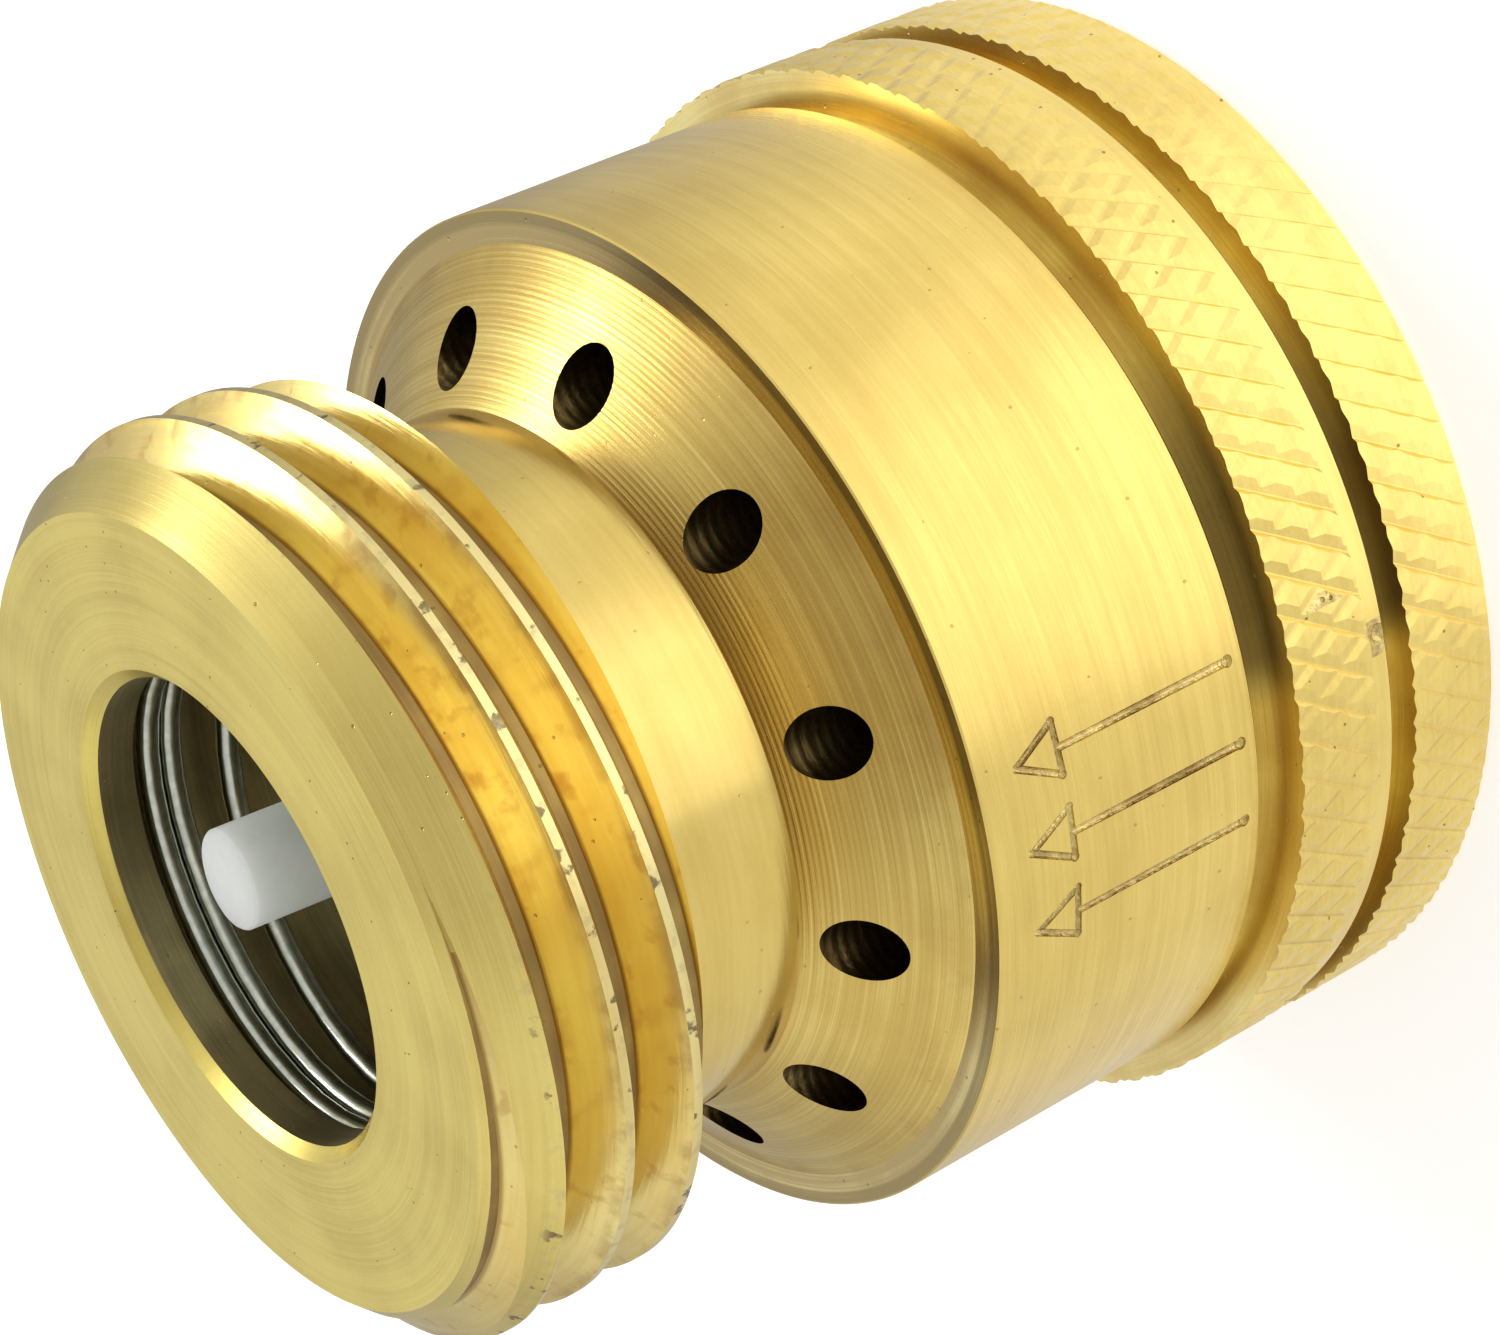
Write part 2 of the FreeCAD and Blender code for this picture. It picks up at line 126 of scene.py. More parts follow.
# knurl, two crossing families of shallow helical grooves
KNURL_STARTS = 83
KNURL_SLANT = math.radians(31)
KNURL_OVER = 0.06
KNURL_OVERRUN = 1.0
KNURL_STEPS = 12
SOFT_FAMILY = {"hand": -1, "lower": 0.24, "upper": 0.24, "depth": 0.07, "flat": 0.05,
               "phase": -0.84}
SHARP_FAMILY = {"hand": 1, "lower": 0.32, "upper": 0.13, "depth": 0.12, "flat": 0.02,
                "phase": 0.15}

# flow arrows cut in the barrel: where each lies around it, then the heights of its parts
ARROW_TURNS = (-97.4, -106.5, -115.6)
ARROW_TAIL = 9.13
ARROW_NECK = 15.3
ARROW_BASE = 15.35
ARROW_TIP = 16.8
ARROW_HALF = 2.8
# radii of the strokes: the tail's pit, the shaft's ends, then for each corner of the head its
# pit and the ends of the stroke that leaves it
ARROW_PIT = 0.19
ARROW_SHAFT = (0.15, 0.12)
ARROW_HEAD = ((0.135, 0.12, 0.115), (0.14, 0.118, 0.112), (0.13, 0.117, 0.111))

# small knocks in the knurl: turn, height and size
DENTS = ((-100.9, 4.3, 0.33), (-94.9, 6.12, 0.08), (-95.1, 5.83, 0.07))

# plunger, which leans on its foot, with heights from the end of its barb
PLUNGER_SIDES = 64
PLUNGER_LEAN = math.radians(3.0)
PLUNGER_WAY = math.radians(12.3)
FOOT_HEIGHT = 14.96
BARB_TIP_RADIUS = 0.9
BARB_RADIUS = 1.9
BARB_TOP = 1.2
PIN_RADIUS = 1.1
FOOT = 3.01
FOOT_RADIUS = 5.0
FOOT_TOP = 4.41
FLANGE_RADIUS = 7.85
FLANGE = 4.81
FLANGE_TOP = 5.81
BOSS_RADIUS = 6.65
BOSS_TOP = 6.61
STEM_RADIUS = 1.48
STEM_START = 8.41
STEM_BEVEL = 0.08
TIP_RADIUS = 1.42
TIP = 20.05
NOTCHES = 6
NOTCH_RADIUS = 1.1
NOTCH_CIRCLE = 8.12
NOTCH_HEIGHT = 4.5
NOTCH_DEPTH = 3

# spring
WIRE_RADIUS = 0.35
COIL_RADIUS = 7.4
SPRING_BOTTOM = 18.546
SPRING_TOP = 30.72
SPRING_TURN = math.radians(-134)
CLOSED_PITCH = 0.73
BOTTOM_TURNS = 1
OPEN_TURNS = 3
TOP_TURNS = 2
SPRING_STEPS = 36
SPRING_BLEND = 8
WIRE_SIDES = 16

# camera, fitted to the object's edges in the photo
CAMERA_PLACE = (22.028, -98.173, 73.639)
CAMERA_RIGHT = (-0.31708, -0.54235, -0.77802)
CAMERA_UP = (0.92958, -0.01513, -0.3683)
CAMERA_FORWARD = (-0.18798, 0.84001, -0.50896)
CAMERA_LENS = 94.868

# window: the way to it, its distance and width, and how bright it is
WINDOW_WAY = (0.51, 0.51, 0.69)
WINDOW_DISTANCE = 220
WINDOW_WIDTH = 84
WINDOW_BRIGHTNESS = 6.0


def deselect():
    if bpy.context.mode != "OBJECT":
        bpy.ops.object.mode_set(mode="OBJECT")
    bpy.ops.object.select_all(action="DESELECT")


def make_active(piece):
    deselect()
    piece.select_set(True)
    bpy.context.view_layer.objects.active = piece


def close_and_orient():
    bpy.ops.mesh.select_mode(type="VERT")
    bpy.ops.mesh.select_all(action="SELECT")
    bpy.ops.mesh.remove_doubles(threshold=0.0005)
    bpy.ops.mesh.fill_holes(sides=0)
    bpy.ops.mesh.select_all(action="SELECT")
    bpy.ops.mesh.normals_make_consistent(inside=False)
    bpy.ops.object.mode_set(mode="OBJECT")


def turned(name, outline, segments=ROUND, solid=False):
    """A turned piece: one circle, extruded from corner to corner of its half section. A ring's
    section is closed at its first corner, and a solid's two ends are closed with faces."""
    deselect()
    radius, height = outline[0]
    bpy.ops.mesh.primitive_circle_add(vertices=segments, radius=radius,
                                      fill_type="NGON" if solid else "NOTHING")
    piece = bpy.context.active_object
    piece.name = name
    bpy.ops.object.mode_set(mode="EDIT")
    bpy.ops.transform.translate(value=(0, 0, height))
    for next_radius, next_height in outline[1:] + ([] if solid else outline[:1]):
        step = {"value": (0, 0, next_height - height)}
        bpy.ops.mesh.extrude_region_move(TRANSFORM_OT_translate=step)
        grow = next_radius / radius
        bpy.ops.transform.resize(value=(grow, grow, 1), center_override=(0, 0, next_height))
        radius, height = next_radius, next_height
    close_and_orient()
    return piece


def apply_modifier(piece, kind, **settings):
    make_active(piece)
    modifier = piece.modifiers.new(kind.lower(), kind)
    for key, value in settings.items():
        setattr(modifier, key, value)
    bpy.ops.object.modifier_apply(modifier=modifier.name)


def cut(piece, cutter):
    apply_modifier(piece, "BOOLEAN", operation="DIFFERENCE", solver="EXACT", object=cutter)
    bpy.data.objects.remove(cutter)


def add_to(piece, other):
    apply_modifier(piece, "BOOLEAN", operation="UNION", solver="EXACT", object=other)
    bpy.data.objects.remove(other)


def helical_cutter(corners, turns, rise, steps):
    """A groove's section, upright over +X, swept up a helix with closed ends."""
    deselect()
    middle_x = sum(x for x, z in corners) / len(corners)
    middle_z = sum(z for x, z in corners) / len(corners)
    bpy.ops.mesh.primitive_circle_add(vertices=len(corners), fill_type="NGON", radius=1,
                                      location=(middle_x, 0, middle_z),
                                      rotation=(math.pi / 2, 0, 0))
    cutter = bpy.context.active_object
    bpy.ops.object.transform_apply(location=True, rotation=True)
    for vertex, (x, z) in zip(cutter.data.vertices, corners):
        vertex.co = (x, 0, z)
    apply_modifier(cutter, "SCREW", angle=turns * 2 * math.pi, screw_offset=rise,
                   steps=steps, render_steps=steps, use_smooth_shade=False)
    bpy.ops.object.mode_set(mode="EDIT")
    close_and_orient()
    return cutter


def cut_thread(body, crest, depth, side, start, turns):
    """A thread's groove up a wall; side is 1 for an outside wall and -1 for a bore."""
    half_root = (PITCH - CREST_FLAT) / 2 - depth * FLANK_SLOPE
    half_mouth = half_root + (depth + THREAD_OVER) * FLANK_SLOPE
    root = (crest - side * depth, half_root)
    mouth = (crest + side * THREAD_OVER, half_mouth)
    (inner, inner_half), (outer, outer_half) = sorted([root, mouth])
    cut(body, helical_cutter([
        (inner, start - inner_half), (outer, start - outer_half),
        (outer, start + outer_half), (inner, start + inner_half),
    ], turns, turns * PITCH, turns * THREAD_STEPS))


def copy_around(piece, count):
    """Repeats a small closed shape around the upright axis."""
    make_active(piece)
    bpy.ops.object.mode_set(mode="EDIT")
    bpy.ops.mesh.select_all(action="SELECT")
    bpy.ops.mesh.spin(steps=count - 1, dupli=True, angle=2 * math.pi * (count - 1) / count,
                      use_auto_merge=False, center=(0, 0, 0), axis=(0, 0, 1))
    bpy.ops.object.mode_set(mode="OBJECT")


def cut_knurl(body, hand, lower, upper, depth, flat, phase):
    """One family of the knurl's grooves: the widths of a groove's two sides and of its floor,
    across it, and where the family starts, in degrees."""
    bottom, top = -KNURL_OVERRUN, BAND_ONE_TOP + KNURL_OVERRUN
    groove, outside = KNURL_RADIUS - depth, KNURL_RADIUS + KNURL_OVER
    grow = (depth + KNURL_OVER) / depth
    along = 1 / math.sin(KNURL_SLANT)
    turns = hand * (top - bottom) * math.tan(KNURL_SLANT) / (2 * math.pi * KNURL_RADIUS)
    cutter = helical_cutter([
        (groove, bottom - flat * along), (outside, bottom - (flat + lower * grow) * along),
        (outside, bottom + (flat + upper * grow) * along), (groove, bottom + flat * along),
    ], turns, top - bottom, KNURL_STEPS)
    copy_around(cutter, KNURL_STARTS)
    cutter.matrix_world = Matrix.Rotation(math.radians(phase), 4, "Z")
    make_active(cutter)
    bpy.ops.object.transform_apply(rotation=True)
    cut(body, cutter)


def cut_vents(body):
    bottom, top = LEDGE_TOP + VENT_OVER, NECK + VENT_OVER
    deselect()
    bpy.ops.mesh.primitive_cylinder_add(vertices=HOLE_SIDES, radius=VENT_RADIUS,
                                        depth=top - bottom,
                                        location=(VENT_CIRCLE, 0, (bottom + top) / 2))
    cutter = bpy.context.active_object
    bpy.ops.object.transform_apply(location=True)
    copy_around(cutter, VENTS)
    cut(body, cutter)


def cut_screw_hole(body):
    deselect()
    height = (BAND_TWO_TOP + GROOVE_TOP) / 2
    bpy.ops.mesh.primitive_cylinder_add(vertices=HOLE_SIDES, radius=SCREW_HOLE_RADIUS,
                                        depth=SCREW_CUTTER,
                                        location=(0, SCREW_CUTTER_PLACE, height),
                                        rotation=(math.pi / 2, 0, 0))
    cut(body, bpy.context.active_object)


def on_round(turn, height, radius=BARREL_RADIUS):
    turn = math.radians(turn)
    return Vector((radius * math.cos(turn), radius * math.sin(turn), height))


def add_stroke(arrow, start, end, start_radius, end_radius):
    """Joins a round-bottomed engraved stroke between two points to the arrow's cutter."""
    deselect()
    along = end - start
    bpy.ops.mesh.primitive_cone_add(vertices=14, radius1=start_radius, radius2=end_radius,
                                    depth=along.length, location=(start + end) / 2,
                                    rotation=along.to_track_quat("Z", "Y").to_euler())
    piece = bpy.context.active_object
    bpy.ops.object.transform_apply(location=True, rotation=True)
    add_to(arrow, piece)


def pit(place, radius):
    """A round-ended cutter where a stroke starts or two strokes meet."""
    deselect()
    bpy.ops.mesh.primitive_uv_sphere_add(segments=18, ring_count=9, radius=radius,
                                         location=place, rotation=(0.4, 0.3, 0.2))
    piece = bpy.context.active_object
    bpy.ops.object.transform_apply(location=True, rotation=True)
    return piece


def cut_dents(body):
    """The knock on band one's bevel and two specks in its knurl."""
    for turn, height, radius in DENTS:
        cut(body, pit(on_round(turn, height, KNURL_RADIUS), radius))


def cut_arrows(body):
    for turn in ARROW_TURNS:
        tail = on_round(turn, ARROW_TAIL)
        neck = on_round(turn, ARROW_NECK)
        left = on_round(turn - ARROW_HALF, ARROW_BASE)
        right = on_round(turn + ARROW_HALF, ARROW_BASE)
        tip = on_round(turn, ARROW_TIP)
        arrow = pit(tail, ARROW_PIT)
        add_stroke(arrow, tail, neck, *ARROW_SHAFT)
        sides = ((left, right), (right, tip), (tip, left))
        for (start, end), (corner, *stroke) in zip(sides, ARROW_HEAD):
            add_to(arrow, pit(start, corner))
            add_stroke(arrow, start, end, *stroke)
        cut(body, arrow)


def make_body():
    body = turned("brass_body", [
        (SOCKET_RADIUS + SOCKET_MOUTH, 0),
        (KNURL_RADIUS - SMALL_BEVEL, 0),
        (KNURL_RADIUS, SMALL_BEVEL),
        (KNURL_RADIUS, BAND_TWO_TOP),
        (GROOVE_FLOOR, BAND_TWO_TOP),
        (GROOVE_FLOOR, GROOVE_TOP),
        (KNURL_RADIUS - BAND_BEVEL, GROOVE_TOP),
        (KNURL_RADIUS - PLAIN_STRIP - PLAIN_STRIP_DRAFT, GROOVE_TOP + BAND_BEVEL_RISE),
        (KNURL_RADIUS - PLAIN_STRIP, PLAIN_STRIP_TOP),
        (KNURL_RADIUS, PLAIN_STRIP_TOP + PLAIN_STRIP_STEP),
        (KNURL_RADIUS, BAND_ONE_TOP),
        (RELIEF_FLOOR, BAND_ONE_TOP),
        (RELIEF_FLOOR, RELIEF_TOP),
        (BARREL_RADIUS - SMALL_BEVEL, RELIEF_TOP),
        (BARREL_RADIUS, RELIEF_TOP + SMALL_BEVEL),
        (BARREL_RADIUS, SHOULDER - EDGE_BREAK),
        (BARREL_RADIUS - EDGE_BREAK, SHOULDER),
        (CONE_RADIUS, SHOULDER),
        (NECK_RADIUS, NECK),
        (NECK_RADIUS, THREAD_START),
        (CREST_RADIUS - THREAD_END_BEVEL, THREAD_START),
        (CREST_RADIUS, THREAD_START + THREAD_END_BEVEL),
        (CREST_RADIUS, TOP - (CREST_RADIUS - FACE_RADIUS)),
        (FACE_RADIUS, TOP),
        (LIP_RADIUS + LIP_BEVEL, TOP),
        (LIP_RADIUS, TOP - LIP_BEVEL),
        (LIP_RADIUS, LIP_UNDERSIDE),
        (PASSAGE_RADIUS, LIP_UNDERSIDE),
        (PASSAGE_RADIUS, SLEEVE_END),
        (SLEEVE_RADIUS, SLEEVE_END),
        (SLEEVE_RADIUS, ROOF),
        (CHAMBER_RADIUS, ROOF),
        (CHAMBER_RADIUS, LEDGE_TOP),
        (LEDGE_RADIUS, LEDGE_TOP),
        (LEDGE_RADIUS, LEDGE),
        (SEAT_BORE, LEDGE),
        (SEAT_BORE, SEAT_HEIGHT),
        (WASHER_RELIEF_RADIUS, SEAT_HEIGHT),
        (WASHER_RELIEF_RADIUS, WASHER_RELIEF),
        (SOCKET_RADIUS, WASHER_RELIEF),
        (SOCKET_RADIUS, SOCKET_MOUTH),
    ])
    cut_knurl(body, **SOFT_FAMILY)
    cut_knurl(body, **SHARP_FAMILY)
    cut_dents(body)
    cut_arrows(body)
    cut_vents(body)
    cut_screw_hole(body)
    cut_thread(body, SOCKET_RADIUS, INLET_DEPTH, -1, INLET_GROOVE_START, INLET_TURNS)
    cut_thread(body, CREST_RADIUS, OUTLET_DEPTH, 1, OUTLET_GROOVE_START, OUTLET_TURNS)
    return body


def make_plunger():
    """The white plunger, turned upright in its own frame and then leant over on its foot."""
    plunger = turned("white_plunger", [
        (BARB_TIP_RADIUS, 0),
        (BARB_RADIUS, BARB_TOP),
        (PIN_RADIUS, BARB_TOP),
        (PIN_RADIUS, FOOT),
        (FOOT_RADIUS, FOOT_TOP),
        (FLANGE_RADIUS, FLANGE),
        (FLANGE_RADIUS, FLANGE_TOP),
        (BOSS_RADIUS, FLANGE_TOP),
        (BOSS_RADIUS, BOSS_TOP),
        (STEM_RADIUS, STEM_START),
        (STEM_RADIUS, TIP - STEM_BEVEL),
        (TIP_RADIUS, TIP),
    ], segments=PLUNGER_SIDES, solid=True)
    deselect()
    bpy.ops.mesh.primitive_cylinder_add(vertices=32, radius=NOTCH_RADIUS, depth=NOTCH_DEPTH,
                                        location=(NOTCH_CIRCLE, 0, NOTCH_HEIGHT))
    notch = bpy.context.active_object
    bpy.ops.object.transform_apply(location=True)
    copy_around(notch, NOTCHES)
    cut(plunger, notch)
    make_active(plunger)
    lean = Matrix.Rotation(PLUNGER_WAY, 4, "Z") @ Matrix.Rotation(PLUNGER_LEAN, 4, "Y")
    rest = Matrix.Translation((0, 0, FOOT_HEIGHT)) @ lean @ Matrix.Translation((0, 0, -FOOT))
    plunger.matrix_world = rest
    bpy.ops.object.transform_apply(location=True, rotation=True)
    return plunger


def make_spring():
    """The spring: its wire's circle, extruded round and up in short steps."""
    steps = SPRING_STEPS
    length = SPRING_TOP - SPRING_BOTTOM
    open_pitch = (length - (BOTTOM_TURNS + TOP_TURNS) * CLOSED_PITCH) / OPEN_TURNS
    rises = [CLOSED_PITCH] * (BOTTOM_TURNS * steps) + [open_pitch] * (OPEN_TURNS * steps)
    rises += [CLOSED_PITCH] * (TOP_TURNS * steps)
    smooth = []
    for i in range(len(rises)):
        near = rises[max(0, i - SPRING_BLEND):i + SPRING_BLEND + 1]
        smooth.append(sum(near) / len(near))
    scale = length * steps / sum(smooth)
    deselect()
    place = (COIL_RADIUS, 0, SPRING_BOTTOM)
    bpy.ops.mesh.primitive_circle_add(vertices=WIRE_SIDES, radius=WIRE_RADIUS, fill_type="NGON",
                                      location=place, rotation=(math.pi / 2, 0, 0))
    spring = bpy.context.active_object
    spring.name = "coil_spring"
    bpy.ops.object.transform_apply(location=True, rotation=True)
    bpy.ops.object.mode_set(mode="EDIT")
    turn = -2 * math.pi / steps
    for rise in smooth:
        step = {"value": (0, 0, rise * scale / steps)}
        bpy.ops.mesh.extrude_region_move(TRANSFORM_OT_translate=step)
        bpy.ops.transform.rotate(value=turn, orient_axis="Z", center_override=(0, 0, 0))
    close_and_orient()
    spring.matrix_world = Matrix.Rotation(SPRING_TURN, 4, "Z")
    make_active(spring)
    bpy.ops.object.transform_apply(rotation=True)
    return spring


def finish_piece(piece, body, slot, *nodes, angle=30):
    """Shrinks a finished piece to metres and ties it to the frame."""
    make_active(piece)
    bpy.ops.object.mode_set(mode="EDIT")
    bpy.ops.mesh.select_all(action="SELECT")
    bpy.ops.transform.resize(value=(MM, MM, MM), center_override=(0, 0, 0))
    bpy.ops.object.mode_set(mode="OBJECT")
    bpy.ops.object.shade_smooth_by_angle(angle=math.radians(angle))
    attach(piece, body)
    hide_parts(*nodes)


body = make_body()
finish_piece(body, "shell", "body_brass", "body", angle=12)
plunger = make_plunger()
finish_piece(plunger, "check", "white_plastic", "plunger")
spring = make_spring()
finish_piece(spring, "shell", "stainless_wire", "spring")
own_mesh(spring)


def add_node(tree, kind, **settings):
    """A new node of a material, with its settings and any plain socket values."""
    node = tree.nodes.new("ShaderNode" + kind)
    for key, value in settings.items():
        if hasattr(node, key):
            setattr(node, key, value)
        else:
            node.inputs[key.replace("_", " ")].default_value = value
    return node


def calc(tree, operation, *values):
    """A Math node's result, for sockets and plain numbers."""
    node = tree.nodes.new("ShaderNodeMath")
    node.operation = operation
    for socket, value in zip(node.inputs, values):
        if isinstance(value, (int, float)):
            socket.default_value = value
        else:
            tree.links.new(value, socket)
    return node.outputs[0]


def between(tree, value, low, high):
    """Nought below low, one above high, and smooth between them."""
    node = tree.nodes.new("ShaderNodeMapRange")
    node.interpolation_type = "SMOOTHSTEP"
    tree.links.new(value, node.inputs["Value"])
    node.inputs["From Min"].default_value = low
    node.inputs["From Max"].default_value = high
    return node.outputs["Result"]


def blend_colour(tree, share, first, second):
    node = tree.nodes.new("ShaderNodeMix")
    node.data_type = "RGBA"
    for name, value in (("Factor", share), ("A", first), ("B", second)):
        sockets = [item for item in node.inputs if item.name == name and item.enabled]
        if isinstance(value, tuple):
            sockets[0].default_value = (*value, 1)
        elif isinstance(value, (int, float)):
            sockets[0].default_value = value
        else:
            tree.links.new(value, sockets[0])
    return [item for item in node.outputs if item.enabled][0]


def new_material(name, metallic, roughness):
    material = bpy.data.materials.new(name)
    material.use_nodes = True
    shader = material.node_tree.nodes["Principled BSDF"]
    shader.inputs["Metallic"].default_value = metallic
    shader.inputs["Roughness"].default_value = roughness
    return material, material.node_tree, shader


class Lathe:
    """Places on a turned piece, in millimetres: point, radius and height."""

    def __init__(self, tree):
        self.tree = tree
        place = tree.nodes.new("ShaderNodeTexCoord").outputs["Object"]
        scale = add_node(tree, "VectorMath", operation="SCALE", Scale=1000)
        tree.links.new(place, scale.inputs[0])
        self.point = scale.outputs[0]
        split = tree.nodes.new("ShaderNodeSeparateXYZ")
        tree.links.new(self.point, split.inputs[0])
        self.x, self.y, self.z = split.outputs
        across = calc(tree, "MULTIPLY", self.x, self.x)
        self.r = calc(tree, "SQRT", calc(tree, "MULTIPLY_ADD", self.y, self.y, across))

    def rings(self, fineness, drift=0.2, detail=3.0):
        """Fine uneven rings, as a turning tool leaves, that change slowly around."""
        tree = self.tree
        join = tree.nodes.new("ShaderNodeCombineXYZ")
        tree.links.new(calc(tree, "MULTIPLY", self.r, fineness), join.inputs[0])
        tree.links.new(calc(tree, "MULTIPLY", self.z, fineness), join.inputs[1])
        tree.links.new(calc(tree, "MULTIPLY", self.x, drift), join.inputs[2])
        noise = add_node(tree, "TexNoise", noise_dimensions="4D", Scale=1, Detail=detail)
        tree.links.new(join.outputs[0], noise.inputs["Vector"])
        tree.links.new(calc(tree, "MULTIPLY", self.y, drift), noise.inputs["W"])
        return noise.outputs["Fac"]

    def feed_marks(self, along, pitch):
        """The even spiral that the tool's feed cuts: a wave along the profile."""
        tree = self.tree
        return calc(tree, "SINE", calc(tree, "MULTIPLY", along, 2 * math.pi / pitch))

    def noise(self, scale, detail=3.0):
        tree = self.tree
        noise = add_node(tree, "TexNoise", Scale=scale, Detail=detail)
        tree.links.new(self.point, noise.inputs["Vector"])
        return noise.outputs["Fac"]

    def pits(self, scale, size):
        """Small round specks, one where a cell's own random value is high enough."""
        tree = self.tree
        cells = add_node(tree, "TexVoronoi", Scale=scale, Randomness=1.0)
        tree.links.new(self.point, cells.inputs["Vector"])
        near = calc(tree, "SUBTRACT", 1, between(tree, cells.outputs["Distance"], size * 0.6, size))
        split = tree.nodes.new("ShaderNodeSeparateColor")
        tree.links.new(cells.outputs["Color"], split.inputs[0])
        chosen = calc(tree, "GREATER_THAN", split.outputs[0], 0.72)
        return calc(tree, "MULTIPLY", near, chosen)


def bump(tree, height, depth, after=None):
    """Raises the surface by height times depth, in millimetres."""
    node = add_node(tree, "Bump", Strength=1.0, Distance=depth * MM)
    tree.links.new(height, node.inputs["Height"])
    if after is not None:
        tree.links.new(after, node.inputs["Normal"])
    return node.outputs[0]


def brass_finish(name, pale, deep, roughness, rings=14, ring_depth=0.004, ring_tone=0.25,
                 drift=0.2, feed=None, feed_depth=0.0, pits=0.3, pit_scale=1.8, blotch=0.4,
                 grain_depth=0.0, stain=None):
    """Turned brass. Pale and deep are its two tones; feed is 'r' or 'z' with a pitch."""
    material, tree, shader = new_material(name, 1.0, roughness)
    lathe = Lathe(tree)
    fine = lathe.rings(rings, drift)
    broad = lathe.rings(rings * 0.16, drift=0.06)
    cloud = lathe.noise(0.3, 4)
    grain = lathe.noise(7, 3)
    tone = calc(tree, "MULTIPLY_ADD", between(tree, fine, 0.3, 0.7), ring_tone, -0.06)
    tone = calc(tree, "MULTIPLY_ADD", between(tree, broad, 0.35, 0.65), ring_tone, tone)
    tone = calc(tree, "MULTIPLY_ADD", between(tree, cloud, 0.3, 0.75), blotch, tone)
    tone = calc(tree, "MULTIPLY_ADD", grain, 0.22, tone)
    colour = blend_colour(tree, between(tree, tone, 0.0, 1.0), pale, deep)
    specks = calc(tree, "MULTIPLY", lathe.pits(pit_scale, 0.11), pits)
    colour = blend_colour(tree, specks, colour, (0.16, 0.09, 0.03))
    if stain is not None:
        colour = stain(tree, lathe, colour)
    tree.links.new(colour, shader.inputs["Base Color"])
    rough = calc(tree, "MULTIPLY_ADD", fine, 0.14, roughness - 0.07)
    rough = calc(tree, "MULTIPLY_ADD", specks, 0.3, rough)
    tree.links.new(rough, shader.inputs["Roughness"])
    normal = bump(tree, fine, ring_depth)
    if feed is not None:
        along, pitch = feed
        place = {"r": lathe.r, "z": lathe.z}[along]
        normal = bump(tree, lathe.feed_marks(place, pitch), feed_depth, after=normal)
    if grain_depth:
        normal = bump(tree, grain, grain_depth, after=normal)
    normal = bump(tree, calc(tree, "MULTIPLY", specks, -1), 0.03, after=normal)
    tree.links.new(normal, shader.inputs["Normal"])
    return material


def turn_window(tree, lathe, start, full, fade, end):
    """One between two directions round the piece, in degrees, and nought outside them."""
    turn = calc(tree, "MULTIPLY", calc(tree, "ARCTAN2", lathe.y, lathe.x), 180 / math.pi)
    return calc(tree, "SUBTRACT", between(tree, turn, start, full),
                between(tree, turn, fade, end))


def flank_shade_and_patches(tree, lathe, colour):
    """Painted shade: a dark line where a flank meets the root. Also brown patches, at random and
    towards the crest.
    """
    # painted shade along the foot of the flank, where it meets the root
    line = calc(tree, "SUBTRACT", 1, between(tree, lathe.r, 12.08, 12.2))
    colour = blend_colour(tree, calc(tree, "MULTIPLY", line, 0.7), colour, (0.30, 0.16, 0.04))
    patch = between(tree, lathe.noise(1.1, 5), 0.56, 0.68)
    colour = blend_colour(tree, calc(tree, "MULTIPLY", patch, 0.4), colour, (0.55, 0.28, 0.07))
    brown = calc(tree, "MULTIPLY", between(tree, lathe.r, 13.0, 13.35),
                 between(tree, lathe.noise(0.8, 4), 0.42, 0.62))
    return blend_colour(tree, calc(tree, "MULTIPLY", brown, 0.5), colour, (0.45, 0.27, 0.09))


def edge_chips(tree, lathe, colour):
    """Dark chips along the thread's crests and its lead's edge."""
    near = between(tree, lathe.r, 12.95, 13.3)
    chip = calc(tree, "MULTIPLY", near, between(tree, lathe.noise(1.3, 5), 0.61, 0.66))
    colour = blend_colour(tree, calc(tree, "MULTIPLY", chip, 0.85), colour, (0.15, 0.11, 0.06))
    scuff = calc(tree, "MULTIPLY", near, between(tree, lathe.noise(2.2, 3), 0.5, 0.7))
    return blend_colour(tree, calc(tree, "MULTIPLY", scuff, 0.5), colour, (0.60, 0.50, 0.26))


def root_painted_shade(tree, lathe, colour):
    """Painted shade in the thread's roots, darkest on the bottom, in uneven brown clouds."""
    cloud = between(tree, lathe.noise(0.6, 4), 0.2, 0.7)
    return blend_colour(tree, calc(tree, "MULTIPLY_ADD", cloud, 0.35, 0.35), colour,
                        (0.24, 0.15, 0.06))


def relief_dark_stretch(tree, lathe, colour):
    """Darker brown over one stretch round the relief and the groove, from about -106 to -58
    degrees.
    """
    share = calc(tree, "MULTIPLY", turn_window(tree, lathe, -106, -99, -84, -58), 0.62)
    return blend_colour(tree, share, colour, (0.20, 0.15, 0.08))


def cone_stain(tree, lathe, colour):
    """A faint brown bloom towards the cone's outer edge."""
    edge = between(tree, lathe.r, 12.4, 14.6)
    cloud = between(tree, lathe.noise(0.5, 4), 0.4, 0.7)
    share = calc(tree, "MULTIPLY", calc(tree, "MULTIPLY", edge, cloud), 0.35)
    return blend_colour(tree, share, colour, (0.42, 0.24, 0.07))


def shoulder_painted_shade(tree, lathe, colour):
    """Painted shade: dark round the outer part of the shoulder's ring, strongest over one stretch
    round it.
    """
    edge = between(tree, lathe.r, 15.0, 15.14)
    reach = calc(tree, "MULTIPLY_ADD", turn_window(tree, lathe, -104, -96, -60, -20), 0.45, 0.35)
    return blend_colour(tree, calc(tree, "MULTIPLY", edge, reach), colour, (0.13, 0.10, 0.05))


